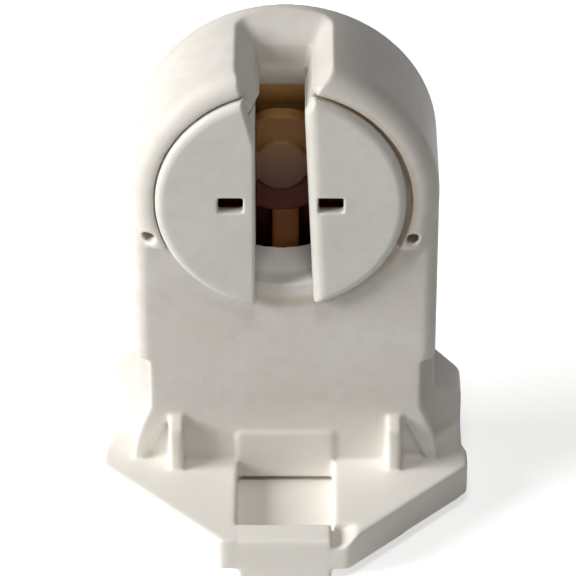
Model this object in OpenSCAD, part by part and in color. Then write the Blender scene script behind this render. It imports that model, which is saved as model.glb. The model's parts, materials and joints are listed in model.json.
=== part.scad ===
// Rotary holder for the two-pin cap of a fluorescent tube, for mounting on a flat tray.
// X runs across the holder, Y from the lamp side to the back, and Z is up.
// The origin is on the mounting plane, below the middle of the arch, in line with the rotor's front face.

/* [Body] */
// Width of the body and of the arch over the rotor
body_w = 24; // [23.4:0.2:26]
// Depth from the rotor's front face to the back
body_depth = 10.6; // [10.6:0.2:13]
// Height of the rotor's axis above the mounting plane
axis_h = 28.2; // [27.4:0.2:34]
// Thickness of the side walls and of the arch
wall = 1.3; // [1:0.1:1.5]
// Thickness of the front wall
front_wall = 2.2; // [1.8:0.1:2.3]
// Rounding of the front wall's upright edges
edge_r = 1.1; // [0.3:0.1:1.2]

/* [Rotor] */
// Diameter of the disc on the front of the rotor
disc_d = 19.6; // [19:0.2:20]
// Thickness of the disc
disc_t = 1; // [0.8:0.05:1]
// Rounding of the disc's rim
disc_edge_r = 0.7; // [0.2:0.05:0.75]
// Sideways distance of the rotor's axis from the middle of the arch
rotor_x = -0.35; // [-0.4:0.05:0.1]
// How far the disc stands in front of the front wall
disc_proud = 1.1; // [1.1:0.05:1.3]
// Diameter of the drum that turns in the body
drum_d = 15.8; // [15.4:0.1:16]
// Distance from the drum's rear end to the cover
drum_rear_gap = 1.6; // [1.4:0.1:1.8]
// Width of the pin slot at its upper end
slot_w = 3.6; // [3.2:0.1:3.8]
// Angle by which the right side of the rotor's slot opens downwards
slot_draft = 2.4; // [0:0.2:3]
// Rounding of the slot's right edge on the disc
slot_r = 1; // [0.4:0.1:1.2]
// Rounding of the slot's left edge on the disc
slot_left_r = 0.2; // [0.1:0.1:0.6]
// Width of the bevel that leads the pins in, on the left half
lead_w = 1.1; // [0.6:0.1:1.4]
// Height of that bevel
lead_h = 4.4; // [3:0.1:5]
// Depth of that bevel
lead_d = 3.4; // [1:0.1:4]
// Width of the bevel on the right half
nick_w = 1; // [0.3:0.1:1.2]
// Height of the bevel on the right half
nick_h = 2.2; // [1:0.1:3]
// Depth of the bevel on the right half
nick_d = 2.4; // [1:0.1:3]
// Radius of the web that joins the two halves
web_r = 4.4; // [3.6:0.1:4.5]
// Radius of the rotor's rear journal
journal_r = 1.6; // [1.2:0.1:1.8]
// Radial clearance between the journal and its bearing
journal_gap = 0.05; // [0.02:0.01:0.1]
// Radial clearance between the drum and the body
drum_gap = 0.15; // [0.1:0.05:0.3]
// Smallest gap between the disc and the rim
disc_gap = 0.06; // [0.06:0.02:0.2]
// Distance of each window's middle from the axis
window_x = 3.9; // [3.5:0.1:4.3]
// Width of each window
window_w = 1.95; // [1.6:0.05:2.2]
// Height of each window
window_h = 1.4; // [0.9:0.1:1.5]

/* [Rim and entry] */
// How far the rim stands in front of the front wall
rim_proud = 0.7; // [0.4:0.1:0.8]
// Rounding of the rim's outer edge
rim_r = 1.5; // [0.8:0.1:1.7]
// Depth below the axis at which the rim ends
rim_drop = 4.4; // [3.5:0.1:5]
// Width of the flare on each side of the entry
flare_w = 1.9; // [1.4:0.1:2.2]
// Depth below the top of the arch at which the flare starts
flare_h = 4; // [3:0.5:4.5]
// Distance from the drum's rear end to the entry's back wall
entry_gap = 0.3; // [0.25:0.05:0.5]
// Radius of the small hole at each end of the rim
pip_r = 0.5; // [0.3:0.05:0.55]

/* [Foot] */
// Thickness of the foot plate
foot_t = 2.9; // [2.8:0.1:3.8]
// How far the foot's side corners reach beyond the body
foot_corner_out = 2.8; // [2.4:0.1:3.6]
// How far the foot and the shoulders reach beyond the body behind the corners
foot_rear_out = 2.4; // [1.8:0.1:2.5]
// Half width of the foot's front edge
foot_front_x = 5.1; // [4.8:0.1:5.6]
// How far the foot reaches in front of the rotor's face
foot_reach = 9.6; // [9:0.1:10.6]
// Height of the corner ribs above the foot
rib_h = 4.5; // [3:0.1:5]
// Width of the corner ribs
rib_w = 1.1; // [1:0.1:1.6]
// Distance of the corner ribs from the middle
rib_x = 8.8; // [8:0.1:9]
// How far the corner ribs stand out from the front wall
rib_out = 1.5; // [1:0.1:1.8]
// Height above the foot at which the front wall steps in
waist_h = 9.8; // [8:0.1:11]
// Depth of that step
waist_in = 1.1; // [0.8:0.1:1.4]
// How far the front wall spreads beyond the waist on the foot
fin_out = 1.4; // [0.8:0.1:1.6]
// Height above the foot at which that spread begins
fin_h = 5.2; // [4.2:0.1:5.6]
// Height of the shoulders at their outer edge, above the foot
shoulder_h = 2.5; // [1.6:0.1:3]
// Rounding of the shoulders
shoulder_r = 1.4; // [0.8:0.1:1.6]

/* [Snap tongue] */
// Half width of the opening in the foot
open_x = 3.9; // [3.6:0.05:4.1]
// Thickness of the tongue
tongue_t = 0.8; // [0.7:0.05:1.1]
// Gap round the tongue
tongue_gap = 0.2; // [0.15:0.05:0.3]
// Gap between the tongue and the panel above it
sill_gap = 0.4; // [0.3:0.05:0.5]
// Width of the notch beside the grip bar's right end
notch_w = 0.9; // [0.6:0.1:1.2]
// Depth of that notch
notch_t = 0.8; // [0.5:0.1:1.2]
// Depth of the grip bar at the tongue's end
bar_t = 2.3; // [1.6:0.1:2.5]
// How far the bar's nose reaches below the mounting plane
nose_drop = 1; // [0.6:0.1:1.4]
// Height of the raised panel above the foot
panel_h = 2.8; // [1.8:0.1:3]

/* [Contacts] */
// Thickness of the bronze strip
strip_t = 0.4; // [0.3:0.05:0.5]
// Width of the contact blades
blade_w = 2.4; // [2:0.1:2.6]
// Clearance between a blade and the rotor
blade_gap = 0.35; // [0.3:0.05:0.45]
// Thickness of the clamp springs
spring_t = 0.3; // [0.2:0.05:0.35]
// Radius of the wire entries in the cover
wire_r = 1.15; // [0.9:0.05:1.25]
// Distance between the two wire entries of one contact
wire_pitch = 3.2; // [2.9:0.1:3.4]
// Height of the wire entries above the foot
wire_h = 6.6; // [6.2:0.1:7.2]

/* [Cover] */
// Thickness of the rear cover
cover_t = 2; // [1.6:0.1:2]
// Gap between the cover and the body
cover_gap = 0.1; // [0.05:0.05:0.15]
// Half width of the rib between the contacts
divider_x = 1.1; // [0.9:0.1:1.3]

/* [Hidden] */
$fn = 72;
eps = 0.01;
body_r = body_w / 2;
face_y = disc_proud;
wall_back_y = face_y + front_wall;
rim_y = face_y - rim_proud;
foot_corner_x = body_r + foot_corner_out;
foot_rear_x = body_r + foot_rear_out;
waist_x = body_r - waist_in;
fin_x = waist_x + fin_out;
disc_r = disc_d / 2;
drum_r = drum_d / 2;
bore_r = drum_r + drum_gap;
recess_x = rotor_x / 2;
recess_r = disc_r + abs(rotor_x) / 2 + disc_gap;
rim_back_y = rim_y + rim_r;
cavity_x = body_r - wall;
cover_y = body_depth - cover_t;
drum_depth = cover_y - drum_rear_gap;
entry_depth = drum_depth + entry_gap;
collar_r = bore_r + 1.1;
collar_y = drum_depth - 0.5;
web_y = drum_depth - 0.9;
web_back_y = drum_depth + 0.5;
slot_x = slot_w / 2;
slot_left_x = slot_x + 0.2;
slot_right_x = slot_x - 0.05;
entry_x = slot_x;
blade_x = drum_r + blade_gap;
run_gap = 0.35;
run_x = cavity_x - strip_t - run_gap;
wire_outer_x = run_x - wire_r - 1;
wire_x = wire_outer_x - wire_pitch;
plate_z = foot_t + wire_h + wire_r + 0.15;
floor_y = 5;
slant = 0.95;
waist_y = wall_back_y - 0.25;
pocket_x = rib_x + rib_w / 2 + 0.1;
pocket_h = 3.2;
sill_z = tongue_t + sill_gap;
panel_y = face_y - 0.2;
bar_y = -foot_reach + bar_t;
terminal_y = [wall_back_y + 0.5, cover_y - 0.3];
post_r = 0.8;
post_x = divider_x + post_r + 0.3;
divider_z = plate_z - 2.4;
bend_z = [3.8, 2.6, 0.6, -0.6, -3.6];

function unit(v) = v / norm(v);

// Points of a corner b between a and c, rounded to radius r
function corner(a, b, c, r, n) =
    let (u = unit(a - b), v = unit(c - b), half = acos(u * v) / 2)
    let (mid = b + unit(u + v) * r / sin(half))
    let (from = b + u * r / tan(half) - mid, to = b + v * r / tan(half) - mid)
    [for (k = [0 : n]) mid + r * unit(from * (1 - k / n) + to * k / n)];

// A polygon with each corner i rounded to radius r[i]
function rounded(p, r, n = 5) =
    let (m = len(p))
    [for (i = [0 : m - 1])
        each (r[i] > 0 ? corner(p[(i + m - 1) % m], p[i], p[(i + 1) % m], r[i], n) : [p[i]])];

// Direction square to a bent strip at point i
function side(p, i) =
    let (a = i > 0 ? unit(p[i] - p[i - 1]) : unit(p[1] - p[0]))
    let (b = i < len(p) - 1 ? unit(p[i + 1] - p[i]) : a)
    let (m = unit(a + b))
    [-m[1], m[0]] / max(0.5, m * a);

// Outline of a strip of thickness t along the points p
function strip(p, t) = concat(
    [for (i = [0 : len(p) - 1]) p[i] + side(p, i) * t / 2],
    [for (i = [len(p) - 1 : -1 : 0]) p[i] - side(p, i) * t / 2]);

// Turns a flat drawing of X and Z into a solid from y0 to y1
module across_y(y0, y1) {
    translate([0, y1, 0]) rotate([90, 0, 0]) linear_extrude(y1 - y0) children();
}

// Turns a flat drawing of Y and Z into a solid from x0 to x1
module across_x(x0, x1) {
    translate([x0, 0, 0]) rotate([90, 0, 90]) linear_extrude(x1 - x0) children();
}

// A round solid at the height of the rotor's axis, x to the side
module round_y(r, y0, y1, x = 0) {
    translate([x, y1, axis_h]) rotate([90, 0, 0]) cylinder(r = r, h = y1 - y0);
}

// A box between two corners
module block(a, b) {
    translate(a) cube(b - a);
}

module both_sides() {
    children();
    mirror([1, 0, 0]) children();
}

// Outline of the inside of the body, kept gap away from its walls
module cavity_outline(gap) {
    translate([0, axis_h]) circle(r = cavity_x - gap);
    translate([gap - cavity_x, foot_t + gap]) square([2 * (cavity_x - gap), axis_h - foot_t - gap]);
}

// Upright part of the body, with the front wall's edges rounded
module column() {
    plan = rounded([[-body_r, face_y], [body_r, face_y], [body_r, body_depth], [-body_r, body_depth]],
                   [edge_r, edge_r, 0, 0]);
    linear_extrude(axis_h) polygon(plan);
    round_y(body_r, rim_back_y, body_depth);
    round_y(body_r - rim_r / 2, face_y, body_depth);
}

// Raised band round the upper part of the disc
module rim() {
    mid = body_r - rim_r;
    edge = [for (a = [0 : 15 : 90]) [mid + rim_r * sin(a), rim_back_y - rim_r * cos(a)]];
    ring = [[mid - 1, rim_y], each edge, [body_r, rim_back_y + 0.2], [mid - 1, rim_back_y + 0.2]];
    difference() {
        translate([0, 0, axis_h]) rotate([-90, 0, 0]) rotate_extrude() polygon(ring);
        block([-body_w, -1, 0], [body_w, body_depth, axis_h - rim_drop]);
    }
}

// Foot plate with its pointed front
module foot() {
    plan = [[-foot_front_x, -foot_reach], [foot_front_x, -foot_reach], [foot_corner_x, 0.4],
            [foot_corner_x, 2.4], [foot_rear_x, 3.4], [foot_rear_x, body_depth],
            [-foot_rear_x, body_depth], [-foot_rear_x, 3.4], [-foot_corner_x, 2.4],
            [-foot_corner_x, 0.4]];
    linear_extrude(foot_t) polygon(rounded(plan, [0.8, 0.8, 0.9, 0.5, 0.5, 0.6, 0.6, 0.5, 0.5, 0.9]));
}

// Removes the front wall's edges below the waist, back to the shoulder's slanting front
module waist_cut() {
    plan = [[waist_x, 0], [body_w, 0], [body_w, waist_y + (body_w - waist_x) * slant], [waist_x, waist_y]];
    translate([0, 0, foot_t]) linear_extrude(waist_h) polygon(plan);
}

// Shoulder that widens the rear of the body on the foot
module shoulder() {
    mid_x = foot_rear_x - shoulder_r;
    top_x = mid_x + shoulder_r * cos(45);
    top_z = shoulder_h + shoulder_r * sin(45);
    outline = [[waist_x, 0], [foot_rear_x, 0],
               each [for (a = [0 : 9 : 45]) [mid_x + shoulder_r * cos(a), shoulder_h + shoulder_r * sin(a)]],
               [body_r, top_z + top_x - body_r], [waist_x, top_z + top_x - body_r]];
    plan = [[waist_x, waist_y], [foot_rear_x, waist_y + (foot_rear_x - waist_x) * slant],
            [foot_rear_x, body_depth - 1], [waist_x, body_depth - 1]];
    intersection() {
        translate([0, 0, foot_t - eps]) across_y(0, body_depth) polygon(outline);
        linear_extrude(axis_h) polygon(plan);
    }
}

// Spread of the front wall's edge where it meets the foot
module fin() {
    edge = [for (k = [0 : 6]) [waist_x + fin_out * sin(15 * k), fin_h * (1 - k / 6)]];
    translate([0, 0, foot_t - eps]) across_y(face_y, face_y + 1.3)
        polygon([[waist_x - 1, fin_h], each edge, [waist_x - 1, 0]]);
}

// Shallow pocket between a corner rib and the spread edge
module fin_pocket() {
    translate([0, 0, foot_t]) across_y(-1, face_y + 0.5)
        polygon([[pocket_x, 0], [fin_x - 0.8, 0], [pocket_x, fin_h - 1]]);
}

// Rib in the corner between the front wall and the foot
module rib() {
    out = face_y - rib_out;
    side_view = rounded([[face_y + eps, 0], [out, 0], [out, rib_h - 0.5], [face_y + eps, rib_h + 0.1]],
                        [0, 0, 0.7, 0]);
    translate([0, 0, foot_t - eps]) across_x(rib_x - rib_w / 2, rib_x + rib_w / 2) polygon(side_view);
}

// Material round the entry, between the arch and the collar
module entry_block() {
    half = entry_x + flare_w + 1.6;
    intersection() {
        round_y(body_r - wall / 2, face_y, cover_y);
        union() {
            block([-half, face_y, axis_h + bore_r + 0.1], [half, cover_y, axis_h + body_r]);
            block([-body_r, entry_depth, axis_h + 6.4], [body_r, cover_y, axis_h + body_r]);
        }
    }
}

// Collar round the drum, open beside the contact blades
module collar() {
    difference() {
        round_y(collar_r, wall_back_y - eps, collar_y, rotor_x);
        round_y(bore_r, 0, body_depth, rotor_x);
        block([-body_r, wall_back_y + 0.4, axis_h - 3], [body_r, body_depth, axis_h + 5]);
    }
}

// Flare of the entry that widens by out from z0 up to the top of the arch
module flare(z0, start, out) {
    top = body_r + 0.5;
    r = 0.3 + out / 2;
    translate([recess_x, 0, axis_h]) hull() {
        translate([0, 0, z0]) linear_extrude(eps) translate([-entry_x - start, -2])
            square([2 * (entry_x + start), entry_depth + start + 2]);
        translate([0, 0, top]) linear_extrude(eps) {
            translate([-entry_x - out, -2]) square([2 * (entry_x + out), entry_depth + out - r + 2]);
            for (s = [-1, 1]) translate([s * (entry_x + out - r), entry_depth + out - r]) circle(r = r);
        }
    }
}

// Space that the pins pass through on their way into the rotor
module entry_cut() {
    block([recess_x - entry_x, -1, axis_h], [recess_x + entry_x, entry_depth, axis_h + body_r + 1]);
    flare(body_r - flare_h, 0, flare_w * 0.55);
    flare(body_r - flare_h / 2, flare_w * 0.3, flare_w * 1.6);
}

// Panel of the front wall that reaches down into the opening
module panel() {
    outline = rounded([[-open_x, sill_z], [open_x, sill_z], [open_x, foot_t + panel_h],
                       [-open_x, foot_t + panel_h]], [0, 0, 0.3, 0.3]);
    across_y(panel_y, face_y + 1) polygon(outline);
}

// Slanting notch in the foot beside the grip bar's right end
module notch() {
    translate([0, 0, foot_t]) across_y(-foot_reach - 1, bar_y)
        polygon([[open_x - 1, -notch_t], [open_x + notch_w / 2, -notch_t], [open_x + 2 * notch_w, 0],
                 [open_x + 2 * notch_w, 1], [open_x - 1, 1]]);
}

// Springy tongue in the foot, with its grip bar and nose
module tongue() {
    half = open_x - tongue_gap;
    block([-half, bar_y - eps, 0], [half, floor_y + eps, tongue_t]);
    side_view = rounded([[-foot_reach, -nose_drop], [bar_y - 0.3, -nose_drop], [bar_y, -nose_drop + 0.5],
                         [bar_y, foot_t], [-foot_reach, foot_t]], [0.3, 0.2, 0, 0.25, 0.35]);
    across_x(-half, half) polygon(side_view);
}

module housing() {
    color("ivory") {
        difference() {
            union() {
                difference() {
                    column();
                    across_y(wall_back_y, body_depth + 1) cavity_outline(0);
                    both_sides() waist_cut();
                }
                rim();
                foot();
                entry_block();
                collar();
                panel();
                both_sides() {
                    shoulder();
                    fin();
                    rib();
                    translate([post_x, cover_y, foot_t + 1.8]) rotate([90, 0, 0])
                        cylinder(r = post_r, h = cover_y - wall_back_y + eps);
                }
            }
            entry_cut();
            translate([rotor_x, 0, 0]) {
                mirror([1, 0, 0]) lead_in(slot_left_x, lead_w, lead_h, lead_d);
                lead_in(slot_right_x, nick_w, nick_h, nick_d);
            }
            round_y(bore_r, 0, wall_back_y + 1, rotor_x);
            round_y(recess_r, -1, face_y, recess_x);
            both_sides() fin_pocket();
            translate([rotor_x, face_y + 1, axis_h - rim_drop + 2 * pip_r])
                both_sides() translate([disc_r + pip_r, 0, 0]) rotate([90, 0, 0]) cylinder(r = pip_r, h = 3);
            block([-open_x, bar_y, sill_z], [open_x, panel_y, foot_t + eps]);
            block([-open_x, -foot_reach - 1, -1], [open_x, floor_y, sill_z]);
            block([-open_x, -foot_reach - 1, -1], [open_x, bar_y + eps, foot_t + 1]);
            notch();
        }
        tongue();
    }
}

// Half of the rotor's slot, from the middle to its side at x
module slot_half(x, draft, r) {
    tall = 2 * disc_r + 4;
    plan = [[-slot_x, -1], [x + r, -1], [x + r, 0],
            each [for (a = [270 : -15 : 180]) [x + r + r * cos(a), r + r * sin(a)]],
            [x, body_depth], [-slot_x, body_depth]];
    translate([0, 0, axis_h + disc_r]) rotate([0, -draft, 0])
        translate([0, 0, 2 - tall]) linear_extrude(tall) polygon(plan);
}

// Disc on the front of the rotor, with its rim rounded
module disc() {
    section = concat([[0, 0]], corner([0, 0], [disc_r, 0], [disc_r, disc_t], disc_edge_r, 6),
                     [[disc_r, disc_t], [0, disc_t]]);
    translate([0, 0, axis_h]) rotate([-90, 0, 0]) rotate_extrude() polygon(section);
}

// Removes a bevel of width w, height h and depth d at the upper end of a slot edge at x
module lead_in(x, w, h, d) {
    top = sqrt(disc_r * disc_r - (x + w) * (x + w));
    n = [-h * d, -h * w, w * d];
    far = 2 * body_r;
    intersection() {
        translate([x + w, 0, axis_h + top]) rotate([0, -asin(n[2] / norm(n)), atan2(n[1], n[0])])
            translate([0, -far, -far]) cube([far, 2 * far, 2 * far]);
        block([eps, -1, axis_h + top - h - 1], [body_r, d + 1, axis_h + body_r + 1]);
    }
}

module rotor() {
    color("oldlace") translate([rotor_x, 0, 0]) difference() {
        union() {
            difference() {
                union() {
                    disc();
                    round_y(drum_r, disc_t - eps, drum_depth);
                }
                slot_half(slot_right_x, slot_draft, slot_r);
                mirror([1, 0, 0]) slot_half(slot_left_x, 0, slot_left_r);
                mirror([1, 0, 0]) lead_in(slot_left_x, lead_w, lead_h, lead_d);
                lead_in(slot_right_x, nick_w, nick_h, nick_d);
            }
            round_y(web_r, web_y, web_back_y);
            round_y(web_r / 2, web_y - 0.3, web_y + eps);
            round_y(journal_r, web_y, body_depth - 0.9);
        }
        both_sides() {
            block([window_x - window_w / 2, -1, axis_h - window_h / 2],
                  [window_x + window_w / 2, disc_t + 0.5, axis_h + window_h / 2]);
            block([window_x - window_w / 2, disc_t + 0.05, axis_h - pocket_h],
                  [window_x + window_w * 0.9, web_y - 0.5, axis_h + pocket_h]);
        }
    }
}

module cover() {
    color("ivory") difference() {
        union() {
            across_y(cover_y, body_depth) cavity_outline(cover_gap);
            block([-divider_x, drum_depth + 0.3, divider_z],
                  [divider_x, cover_y + eps, axis_h - web_r - 0.5]);
            round_y(journal_r + 1.1, cover_y - 0.4, cover_y + eps, rotor_x);
        }
        round_y(journal_r + journal_gap, 0, body_depth - 0.8, rotor_x);
        for (s = [-1, 1], k = [0, 1])
            translate([s * (wire_x + k * wire_pitch), body_depth + 1, foot_t + wire_h])
                rotate([90, 0, 0]) cylinder(r = wire_r, h = cover_t + 2);
    }
}

// Bronze contact: blade x away from the middle, upright run and terminal plate
module contact(x) {
    mid = run_x + strip_t / 2;
    tip_x = min(x + 1, sqrt(cavity_x * cavity_x - bend_z[0] * bend_z[0]) - strip_t);
    path = [[tip_x, axis_h + bend_z[0]], [tip_x - 0.3, axis_h + bend_z[1]], [x + strip_t / 2, axis_h + bend_z[2]],
            [x + strip_t / 2, axis_h + bend_z[3]], [mid, axis_h + bend_z[4]], [mid, plate_z - strip_t]];
    blade_y = wall_back_y + 0.6;
    across_y(blade_y, blade_y + blade_w) polygon(strip(path, strip_t));
    block([wire_x - wire_r - 0.3, terminal_y[0], plate_z], [run_x + strip_t, terminal_y[1], plate_z + strip_t]);
    block([run_x, terminal_y[0], foot_t + 1], [run_x + strip_t, terminal_y[1], plate_z + eps]);
}

// Bent spring that clamps the wires against the terminal plate
module clamp() {
    y0 = terminal_y[0];
    y1 = terminal_y[1];
    path = [[y1 - 0.1, foot_t + spring_t / 2 + 0.05], [y0 + 0.6, foot_t + spring_t / 2 + 0.05],
            [y0 + 0.25, foot_t + 0.7], [y0 + 0.45, foot_t + 1.5], [y1 - 0.6, foot_t + 2.6],
            [y0 + 1.5, foot_t + wire_h - 0.2], [y0 + 1.2, plate_z - 0.25]];
    across_x(wire_x - wire_r, run_x - 0.25) polygon(strip(path, spring_t));
}

housing();
rotor();
cover();
color("darkgoldenrod") mirror([1, 0, 0]) contact(blade_x - rotor_x);  // contact_left
color("darkgoldenrod") contact(blade_x + rotor_x);  // contact_right
color("silver") mirror([1, 0, 0]) clamp();  // clamp_left
color("silver") clamp();  // clamp_right
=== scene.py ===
# Rotary holder for a fluorescent tube: soft-edged mouldings, materials, light and camera.
import math
import json

import bpy
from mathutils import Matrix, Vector


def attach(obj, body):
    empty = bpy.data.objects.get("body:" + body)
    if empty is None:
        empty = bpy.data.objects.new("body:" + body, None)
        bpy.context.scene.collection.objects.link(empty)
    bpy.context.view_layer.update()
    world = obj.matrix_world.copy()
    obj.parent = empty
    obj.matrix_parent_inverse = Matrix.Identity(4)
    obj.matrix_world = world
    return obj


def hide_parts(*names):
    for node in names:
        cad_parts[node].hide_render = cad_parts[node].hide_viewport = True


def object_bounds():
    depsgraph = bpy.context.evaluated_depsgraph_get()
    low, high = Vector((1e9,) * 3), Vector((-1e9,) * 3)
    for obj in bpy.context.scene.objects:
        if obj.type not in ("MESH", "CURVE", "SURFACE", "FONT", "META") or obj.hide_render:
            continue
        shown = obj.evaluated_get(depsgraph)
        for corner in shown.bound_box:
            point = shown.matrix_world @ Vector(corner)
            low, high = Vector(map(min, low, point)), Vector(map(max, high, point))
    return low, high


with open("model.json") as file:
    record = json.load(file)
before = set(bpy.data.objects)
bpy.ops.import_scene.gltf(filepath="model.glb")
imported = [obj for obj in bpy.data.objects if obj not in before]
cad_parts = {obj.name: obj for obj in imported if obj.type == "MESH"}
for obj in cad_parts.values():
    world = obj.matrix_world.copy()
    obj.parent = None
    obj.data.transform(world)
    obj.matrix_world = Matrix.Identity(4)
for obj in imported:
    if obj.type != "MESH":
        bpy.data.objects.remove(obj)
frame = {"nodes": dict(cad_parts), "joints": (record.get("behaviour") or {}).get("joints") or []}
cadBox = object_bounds()
scene = bpy.context.scene
mm = 0.001
rotorAxis = Vector(frame["joints"][0]["pos_m"])
print("frame loaded:", len(frame["nodes"]), "nodes")


# helpers

def deselectAll():
    if bpy.context.object and bpy.context.object.mode != "OBJECT":
        bpy.ops.object.mode_set(mode="OBJECT")
    bpy.ops.object.select_all(action="DESELECT")


def makeActive(obj):
    deselectAll()
    obj.select_set(True)
    bpy.context.view_layer.objects.active = obj


def applyModifier(obj, modifier):
    makeActive(obj)
    bpy.ops.object.modifier_apply(modifier=modifier.name)


# material helpers: every pattern reads Object coordinates, in metres

def newMaterial(name):
    mat = bpy.data.materials.new(name)
    mat.use_nodes = True
    nodes, links = mat.node_tree.nodes, mat.node_tree.links
    place = nodes.new("ShaderNodeTexCoord").outputs["Object"]
    return mat, nodes, links, nodes["Principled BSDF"], place


def noiseNode(nodes, links, place, scale, detail=4, rough=0.55):
    noise = nodes.new("ShaderNodeTexNoise")
    noise.inputs["Scale"].default_value = scale
    noise.inputs["Detail"].default_value = detail
    noise.inputs["Roughness"].default_value = rough
    links.new(place, noise.inputs["Vector"])
    return noise.outputs["Fac"]


def stretchNode(nodes, links, place, scale):
    mapping = nodes.new("ShaderNodeMapping")
    mapping.inputs["Scale"].default_value = scale
    links.new(place, mapping.inputs["Vector"])
    return mapping.outputs["Vector"]


def rangeNode(nodes, links, source, low, high, toLow=0.0, toHigh=1.0):
    span = nodes.new("ShaderNodeMapRange")
    for label, value in (("From Min", low), ("From Max", high), ("To Min", toLow), ("To Max", toHigh)):
        span.inputs[label].default_value = value
    links.new(source, span.inputs["Value"])
    return span.outputs["Result"]


def mixColour(nodes, links, factor, first, second, blend="MIX"):
    mix = nodes.new("ShaderNodeMix")
    mix.data_type = "RGBA"
    mix.blend_type = blend
    for socket, value in ((mix.inputs["Factor"], factor), (mix.inputs[6], first), (mix.inputs[7], second)):
        if isinstance(value, bpy.types.NodeSocket):
            links.new(value, socket)
        elif isinstance(value, tuple):
            socket.default_value = (*value, 1)
        else:
            socket.default_value = value
    return mix.outputs[2]


def multiply(nodes, links, first, second):
    product = nodes.new("ShaderNodeMath")
    product.operation = "MULTIPLY"
    links.new(first, product.inputs[0])
    links.new(second, product.inputs[1])
    return product.outputs[0]


def addValue(nodes, links, source, value):
    total = nodes.new("ShaderNodeMath")
    total.inputs[1].default_value = value
    links.new(source, total.inputs[0])
    return total.outputs[0]


def bumpNode(nodes, links, height, strength, distance):
    bump = nodes.new("ShaderNodeBump")
    bump.inputs["Strength"].default_value = strength
    bump.inputs["Distance"].default_value = distance
    links.new(height, bump.inputs["Height"])
    return bump.outputs["Normal"]


# moulded plastic

moulding = {
    "housing": (0.668, 0.640, 0.602),
    "housingPale": (0.713, 0.692, 0.662),
    "housingWarm": (0.618, 0.580, 0.530),
    "rotor": (0.650, 0.640, 0.605),
    "rotorPale": (0.695, 0.686, 0.655),
    "rotorWarm": (0.606, 0.585, 0.540),
    "deep": (0.085, 0.012, 0.003),       # painted shade of the inside, browns from its lower to its upper part, with tan and a painted warm glow (golden) above
    "tan": (0.300, 0.145, 0.050),
    "golden": (0.990, 0.620, 0.210),
    "lobe": (0.440, 0.165, 0.060),       # painted shade on the rib between the contacts
    "pocket": (0.600, 0.210, 0.080),     # painted shade behind the windows, where little light comes
    "stainAndShade": (0.440, 0.335, 0.225),      # tan painted shade beside the rotor and at the entry's back
    "footPale": (0.850, 0.825, 0.780),   # the foot is a little paler than the upright part
    "boreLight": (0.930, 0.910, 0.875),      # painted light on the bore that the drum turns in
    "scatter": (1.0, 0.8, 0.55),         # how far light spreads under the surface, times its depth
    "scatterDepth": 1.2 * mm,
    "scatterShare": 0.08,
    "roughness": 0.44,
    "specular": 0.18,
    "patch": 170,                        # soft patches, about 6 mm
    "mottle": 900,                       # finer mottling, about 1 mm
    "grain": 5200,                       # texture of the mould's surface
}

housingTones = {                               # where the housing changes its tone and where painted light and shade lie on it, from and to
    "footHeight": (4 * mm, 9 * mm),      # above this the foot's pale tone is gone
    "footShare": 0.9,
    "boreRadius": 7.9 * mm,              # painted light on the bore that the drum turns in
    "boreWidth": 0.8 * mm,
    "boreDepth": (2.3 * mm, 3.1 * mm),
    "entryHalf": (2.4 * mm, 3 * mm),     # painted shade on the back wall of the entry
    "entryShare": 0.5,
    "entryDepth": (5.4 * mm, 7.0 * mm),
    "entryTop": (rotorAxis.z + 7 * mm, rotorAxis.z + 10.5 * mm),
    "entryBottom": (rotorAxis.z + 3 * mm, rotorAxis.z + 5 * mm),
    "gapRadius": 9.75 * mm,              # painted shade in the gap beside the disc, stronger to the right
    "gapWidth": 0.7 * mm,
    "gapDepth": (1.3 * mm, 2.0 * mm),
    "gapShare": 0.8,
    "gapSide": (-9 * mm, 6 * mm),
}

insideShade = {                               # where the painted shade and glow of the inside start and end
    "tanHeight": (rotorAxis.z - 1.8 * mm, rotorAxis.z + 2.8 * mm),
    "farDepth": (7.6 * mm, 8.2 * mm),
    "pocketInner": (2.5 * mm, 2.8 * mm),
    "pocketOuter": (5.9 * mm, 6.2 * mm),
    "endSpan": 0.3 * mm,                 # how far each change of tone takes
    "goldenSpan": 1.2 * mm,
    "whiteSpan": 0.6 * mm,
    "pocketSpan": 0.6 * mm,
    "rotor": {"start": 3.2 * mm, "full": 6.0 * mm, "end": 12 * mm, "pockets": 0.9 * mm,
              "golden": 4.2 * mm, "lower": moulding["deep"], "top": 4.7 * mm},
    "cover": {"start": 0, "full": 1 * mm, "end": 9.2 * mm, "golden": 3.2 * mm, "lower": moulding["lobe"]},
}

rotorMark = {                            # faint arc left by the mould on the rotor's left half
    "centre": (-6.5 * mm, 0, rotorAxis.z + 4.8 * mm),
    "radius": 2.33 * mm,
    "width": 0.26 * mm,
    "from": -1.2 * mm,
    "to": -2.1 * mm,
    "depth": (0.2 * mm, 0.4 * mm),       # only on the disc's face
    "height": 0.04 * mm,
    "strength": 0.35,
}


def ringMask(nodes, links, place, centre, radius, width):  # a ring round an axis along Y
    offset = nodes.new("ShaderNodeVectorMath")
    offset.operation = "SUBTRACT"
    offset.inputs[1].default_value = centre
    flat = nodes.new("ShaderNodeVectorMath")
    flat.operation = "MULTIPLY"
    flat.inputs[1].default_value = (1, 0, 1)
    reach = nodes.new("ShaderNodeVectorMath")
    reach.operation = "LENGTH"
    links.new(place, offset.inputs[0])
    links.new(offset.outputs[0], flat.inputs[0])
    links.new(flat.outputs[0], reach.inputs[0])
    apart = nodes.new("ShaderNodeMath")
    apart.operation = "ABSOLUTE"
    links.new(addValue(nodes, links, reach.outputs["Value"], -radius), apart.inputs[0])
    return rangeNode(nodes, links, apart.outputs[0], width * 0.3, width, 1, 0)


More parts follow.
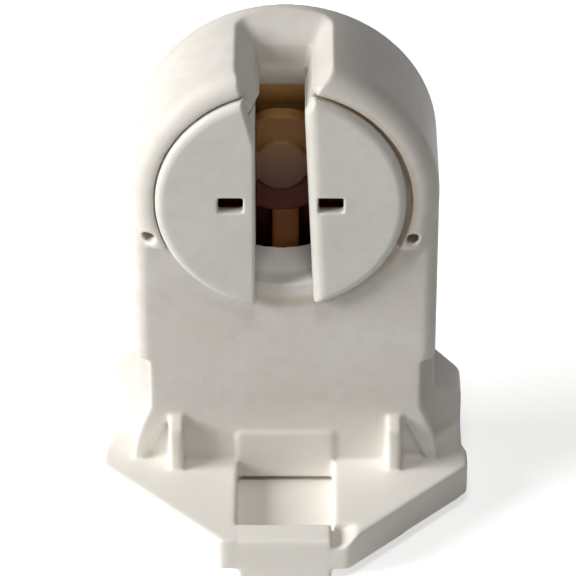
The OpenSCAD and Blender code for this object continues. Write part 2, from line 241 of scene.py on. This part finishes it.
def splitPlace(nodes, links, place):       # across is the distance from the rotor's middle plane
    split = nodes.new("ShaderNodeSeparateXYZ")
    links.new(place, split.inputs["Vector"])
    across = nodes.new("ShaderNodeMath")
    across.operation = "ABSOLUTE"
    links.new(addValue(nodes, links, split.outputs["X"], -rotorAxis.x), across.inputs[0])
    return {"side": split.outputs["X"], "across": across.outputs[0],
            "depth": split.outputs["Y"], "height": split.outputs["Z"]}


# paints the foot paler, painted light on the bore, painted shade at the entry's back and in the gap beside
# the disc
def paintHousingLightAndShade(nodes, links, place, mottle, colour):
    parts = splitPlace(nodes, links, place)
    depth, height = parts["depth"], parts["height"]
    low = rangeNode(nodes, links, height, *housingTones["footHeight"], housingTones["footShare"], 0)
    colour = mixColour(nodes, links, low, colour, moulding["footPale"])

    # painted light on the floor of the bore
    bore = ringMask(nodes, links, place, tuple(rotorAxis), housingTones["boreRadius"], housingTones["boreWidth"])
    bore = multiply(nodes, links, bore, rangeNode(nodes, links, depth, *housingTones["boreDepth"]))
    colour = mixColour(nodes, links, bore, colour, moulding["boreLight"])

    # painted shade on the back wall of the entry
    entry = rangeNode(nodes, links, parts["across"], *housingTones["entryHalf"], housingTones["entryShare"], 0)
    entry = multiply(nodes, links, entry, rangeNode(nodes, links, depth, *housingTones["entryDepth"]))
    entry = multiply(nodes, links, entry, rangeNode(nodes, links, height, *housingTones["entryTop"], 1, 0))
    entry = multiply(nodes, links, entry, rangeNode(nodes, links, height, *housingTones["entryBottom"]))
    colour = mixColour(nodes, links, entry, colour, moulding["stainAndShade"])

    # painted shade in the gap beside the disc, stronger to the right, away from the light
    ring = ringMask(nodes, links, place, (0, 0, rotorAxis.z), housingTones["gapRadius"], housingTones["gapWidth"])
    front = rangeNode(nodes, links, depth, *housingTones["gapDepth"], housingTones["gapShare"], 0)
    ring = multiply(nodes, links, ring, front)
    ring = multiply(nodes, links, ring, rangeNode(nodes, links, parts["side"], *housingTones["gapSide"], 0.2, 1))
    ring = multiply(nodes, links, ring, rangeNode(nodes, links, mottle, 0, 0.5, 0.7, 1))
    return mixColour(nodes, links, ring, colour, moulding["stainAndShade"])


# painted shade inside the slot, darker lower down and further back, with a painted warm glow (golden) above
# it
def paintInsideShade(nodes, links, place, inside, colour):
    parts = splitPlace(nodes, links, place)
    across, depth, height = parts["across"], parts["depth"], parts["height"]
    reach = multiply(nodes, links, rangeNode(nodes, links, depth, inside["start"], inside["full"]),
                     rangeNode(nodes, links, depth, inside["end"] - insideShade["endSpan"], inside["end"], 1, 0))
    goldenStart = rotorAxis.z + inside["golden"]
    low = rangeNode(nodes, links, height, *insideShade["tanHeight"])
    high = rangeNode(nodes, links, height, goldenStart, goldenStart + insideShade["goldenSpan"])
    far = rangeNode(nodes, links, depth, *insideShade["farDepth"])
    brown = mixColour(nodes, links, far, inside["lower"], moulding["deep"])
    brown = mixColour(nodes, links, low, brown, moulding["tan"])
    brown = mixColour(nodes, links, high, brown, moulding["golden"])
    if "top" in inside:                  # above the web the slot's sides stay white
        whiteStart = rotorAxis.z + inside["top"]
        white = rangeNode(nodes, links, height, whiteStart, whiteStart + insideShade["whiteSpan"], 1, 0)
        reach = multiply(nodes, links, reach, white)
    colour = mixColour(nodes, links, reach, colour, brown)
    if "pockets" in inside:              # behind the windows the painted shade starts further forward
        pocket = multiply(nodes, links, rangeNode(nodes, links, across, *insideShade["pocketInner"]),
                          rangeNode(nodes, links, across, *insideShade["pocketOuter"], 1, 0))
        pocketStart = inside["pockets"]
        front = rangeNode(nodes, links, depth, pocketStart, pocketStart + insideShade["pocketSpan"])
        pocket = multiply(nodes, links, pocket, front)
        colour = mixColour(nodes, links, pocket, colour, moulding["pocket"])
    return colour


def mouldMark(nodes, links, place, mark, relief):
    parts = splitPlace(nodes, links, place)
    middle = mark["centre"][2]
    arc = ringMask(nodes, links, place, mark["centre"], mark["radius"], mark["width"])
    lower = rangeNode(nodes, links, parts["height"], middle + mark["from"], middle + mark["to"])
    arc = multiply(nodes, links, arc, lower)
    arc = multiply(nodes, links, arc, rangeNode(nodes, links, parts["depth"], *mark["depth"], 1, 0))
    ridge = nodes.new("ShaderNodeBump")
    ridge.inputs["Strength"].default_value = mark["strength"]
    ridge.inputs["Distance"].default_value = mark["height"]
    links.new(arc, ridge.inputs["Height"])
    links.new(relief, ridge.inputs["Normal"])
    return ridge.outputs["Normal"]


def mouldedPlastic(name, main, pale, warm, inside=None, litAndShaded=False, mark=None):
    mat, nodes, links, shader, place = newMaterial(name)
    patch = rangeNode(nodes, links, noiseNode(nodes, links, place, moulding["patch"], 2), 0.35, 0.65)
    mottle = noiseNode(nodes, links, place, moulding["mottle"], 3)
    mottle = rangeNode(nodes, links, mottle, 0.45, 0.75, 0, 0.5)
    colour = mixColour(nodes, links, patch, main, pale)
    colour = mixColour(nodes, links, mottle, colour, warm)
    # the housing gets painted light and shade, the rotor and the cover painted shade inside
    if litAndShaded:
        colour = paintHousingLightAndShade(nodes, links, place, mottle, colour)
    if inside:
        colour = paintInsideShade(nodes, links, place, inside, colour)
    links.new(colour, shader.inputs["Base Color"])
    grain = noiseNode(nodes, links, place, moulding["grain"], 3)
    rough = moulding["roughness"]
    gloss = rangeNode(nodes, links, grain, 0.3, 0.7, rough - 0.05, rough + 0.07)
    links.new(gloss, shader.inputs["Roughness"])
    relief = bumpNode(nodes, links, grain, 0.12, 0.02 * mm)
    if mark:
        relief = mouldMark(nodes, links, place, mark, relief)
    links.new(relief, shader.inputs["Normal"])
    shader.inputs["IOR"].default_value = 1.5
    shader.inputs["Specular IOR Level"].default_value = moulding["specular"]
    shader.inputs["Subsurface Weight"].default_value = moulding["scatterShare"]
    shader.inputs["Subsurface Radius"].default_value = moulding["scatter"]
    shader.inputs["Subsurface Scale"].default_value = moulding["scatterDepth"]
    return mat


housingPlastic = mouldedPlastic("whiteMoulding", moulding["housing"], moulding["housingPale"],
                                moulding["housingWarm"], litAndShaded=True)
rotorPlastic = mouldedPlastic("rotorMoulding", moulding["rotor"], moulding["rotorPale"],
                              moulding["rotorWarm"], insideShade["rotor"], mark=rotorMark)
coverPlastic = mouldedPlastic("coverMoulding", moulding["housing"], moulding["housingPale"],
                              moulding["housingWarm"], insideShade["cover"])


# metals

metal = {
    "bronze": (0.62, 0.38, 0.15),
    "bronzeDark": (0.36, 0.19, 0.07),
    "steel": (0.62, 0.61, 0.60),
    "steelDark": (0.38, 0.37, 0.36),
    "stainAndShade": 260,                        # patches of tarnish, about 4 mm
    "drawn": 3000,                       # fine lines along the strip
}


def sheetMetal(name, bright, dark, along):
    mat, nodes, links, shader, place = newMaterial(name)
    stainAndShade = rangeNode(nodes, links, noiseNode(nodes, links, place, metal["stainAndShade"], 4), 0.4, 0.7)
    drawn = noiseNode(nodes, links, stretchNode(nodes, links, place, along), metal["drawn"], 3)
    colour = mixColour(nodes, links, stainAndShade, bright, dark)
    colour = mixColour(nodes, links, rangeNode(nodes, links, drawn, 0.4, 0.8, 0, 0.35), colour, dark)
    links.new(colour, shader.inputs["Base Color"])
    shader.inputs["Metallic"].default_value = 1.0
    links.new(rangeNode(nodes, links, drawn, 0.2, 0.8, 0.24, 0.42), shader.inputs["Roughness"])
    links.new(bumpNode(nodes, links, drawn, 0.15, 0.01 * mm), shader.inputs["Normal"])
    return mat


bronze = sheetMetal("contactBronze", metal["bronze"], metal["bronzeDark"], (1, 1, 0.08))
steel = sheetMetal("springSteel", metal["steel"], metal["steelDark"], (1, 0.08, 1))
print("materials ready")


# mouldings with soft edges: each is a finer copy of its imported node

softMouldings = {
    "housing": {"piece": "housingMoulding", "voxel": 0.14 * mm, "rounds": 12, "triangles": 190000,
                "material": housingPlastic, "slot": "white_moulding", "body": "holder"},
    "rotor": {"piece": "rotorMoulding", "voxel": 0.10 * mm, "rounds": 10, "triangles": 120000,
              "material": rotorPlastic, "slot": "rotor_moulding", "body": "rotor"},
    "cover": {"piece": "coverMoulding", "voxel": 0.14 * mm, "rounds": 4, "triangles": 90000,
              "material": coverPlastic, "slot": "white_moulding", "body": "holder"},
}

weldGap = 0.0005 * mm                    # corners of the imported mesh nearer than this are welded


def softMoulding(node, want):
    source = frame["nodes"][node]
    piece = bpy.data.objects.new(want["piece"], source.data.copy())
    scene.collection.objects.link(piece)
    makeActive(piece)
    bpy.ops.object.mode_set(mode="EDIT")
    bpy.ops.mesh.select_all(action="SELECT")
    bpy.ops.mesh.remove_doubles(threshold=weldGap)
    bpy.ops.object.mode_set(mode="OBJECT")
    remesh = piece.modifiers.new("evenMesh", "REMESH")
    remesh.mode = "VOXEL"
    remesh.voxel_size = want["voxel"] * 1
    applyModifier(piece, remesh)
    soften = piece.modifiers.new("softEdges", "SMOOTH")
    soften.factor = 0.5
    soften.iterations = want["rounds"]
    applyModifier(piece, soften)
    triangles = 2 * len(piece.data.polygons)
    if triangles > want["triangles"]:
        thin = piece.modifiers.new("thin", "DECIMATE")
        thin.ratio = want["triangles"] / triangles
        applyModifier(piece, thin)
    piece.data.materials.clear()
    piece.data.materials.append(want["material"])
    makeActive(piece)
    bpy.ops.object.shade_smooth()
    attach(piece, want["body"])
    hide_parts(node)
    print(want["piece"], "has", len(piece.data.polygons), "faces")


for node, want in softMouldings.items():
    softMoulding(node, want)

for node, mat in (("contact_left", bronze), ("contact_right", bronze),
                  ("clamp_left", steel), ("clamp_right", steel)):
    frame["nodes"][node].data.materials.clear()
    frame["nodes"][node].data.materials.append(mat)


# floor, light and camera

studio = {
    "floorZ": cadBox[0][2],
    "floorSize": 1.6,
    "floorColour": (0.93, 0.93, 0.92),
    "floorRoughness": 0.9,
    "floorGlow": 0.60,                   # what the floor adds for the camera, up to white
    "skyLight": 0.01,
    "skyColour": (1, 0.995, 0.985),
    "keyFrom": (-0.395, -0.10, 0.198),
    "keySize": 0.22,
    "keyPower": 2.45,
    "keyColour": (1, 0.985, 0.955),
    "topFrom": (0.0, -0.145, 0.435),
    "topSize": 0.10,
    "topPower": 0.46,
    "topColour": (1, 0.985, 0.96),
    "lampAim": (0, 0, 20 * mm),
}


def seenDirectly(nodes, links):           # 1 for rays of the camera, of mirrors and of glass
    path = nodes.new("ShaderNodeLightPath")
    total = None
    for label in ("Is Camera Ray", "Is Glossy Ray", "Is Transmission Ray"):
        if total is None:
            total = path.outputs[label]
            continue
        most = nodes.new("ShaderNodeMath")
        most.operation = "MAXIMUM"
        links.new(total, most.inputs[0])
        links.new(path.outputs[label], most.inputs[1])
        total = most.outputs[0]
    return total


def makeFloor():
    deselectAll()
    bpy.ops.mesh.primitive_plane_add(size=studio["floorSize"], location=(0, 0, studio["floorZ"]))
    floor = bpy.context.object
    floor.name = "floor"
    mat, nodes, links, shader = newMaterial("paleFloor")[:4]
    shader.inputs["Base Color"].default_value = (*studio["floorColour"], 1)
    shader.inputs["Roughness"].default_value = studio["floorRoughness"]
    shader.inputs["Emission Color"].default_value = (1, 1, 1, 1)
    glow = nodes.new("ShaderNodeMath")
    glow.operation = "MULTIPLY"
    glow.inputs[1].default_value = studio["floorGlow"]
    links.new(seenDirectly(nodes, links), glow.inputs[0])
    links.new(glow.outputs[0], shader.inputs["Emission Strength"])
    floor.data.materials.append(mat)


def makeSky():
    world = bpy.data.worlds.new("studio")
    scene.world = world
    world.use_nodes = True
    nodes, links = world.node_tree.nodes, world.node_tree.links
    sky = nodes["Background"]
    sky.inputs["Color"].default_value = (*studio["skyColour"], 1)
    strength = rangeNode(nodes, links, seenDirectly(nodes, links), 0, 1, studio["skyLight"], 1)
    links.new(strength, sky.inputs["Strength"])


def makeLamp(name, start, size, power, colour):
    lamp = bpy.data.lights.new(name, "AREA")
    lamp.shape = "SQUARE"
    lamp.size = size
    lamp.energy = power
    lamp.color = colour
    holder = bpy.data.objects.new(name, lamp)
    scene.collection.objects.link(holder)
    holder.location = start
    aim = Vector(studio["lampAim"]) - Vector(start)
    holder.rotation_euler = aim.to_track_quat("-Z", "Y").to_euler()


makeFloor()
makeSky()
makeLamp("key", studio["keyFrom"], studio["keySize"], studio["keyPower"], studio["keyColour"])
makeLamp("top", studio["topFrom"], studio["topSize"], studio["topPower"], studio["topColour"])

photoView = {
    "azimuth": 0.15,
    "elevation": 34.45,
    "distance": 0.300,
    "lens": 239,
    "aim": (0.21 * mm, 0, rotorAxis.z - 7.65 * mm),
}


def makeCamera():
    a, e = math.radians(photoView["azimuth"]), math.radians(photoView["elevation"])
    back = Vector((math.sin(a) * math.cos(e), -math.cos(a) * math.cos(e), math.sin(e)))
    lens = bpy.data.cameras.new("photoCamera")
    lens.lens = photoView["lens"]
    lens.sensor_width = 36
    lens.clip_start = 0.01
    lens.clip_end = 10
    camera = bpy.data.objects.new("photoCamera", lens)
    scene.collection.objects.link(camera)
    camera.location = Vector(photoView["aim"]) + back * photoView["distance"]
    camera.rotation_euler = (math.pi / 2 - e, 0, a)
    scene.camera = camera


makeCamera()
scene.view_settings.view_transform = "Standard"
print("stage set")
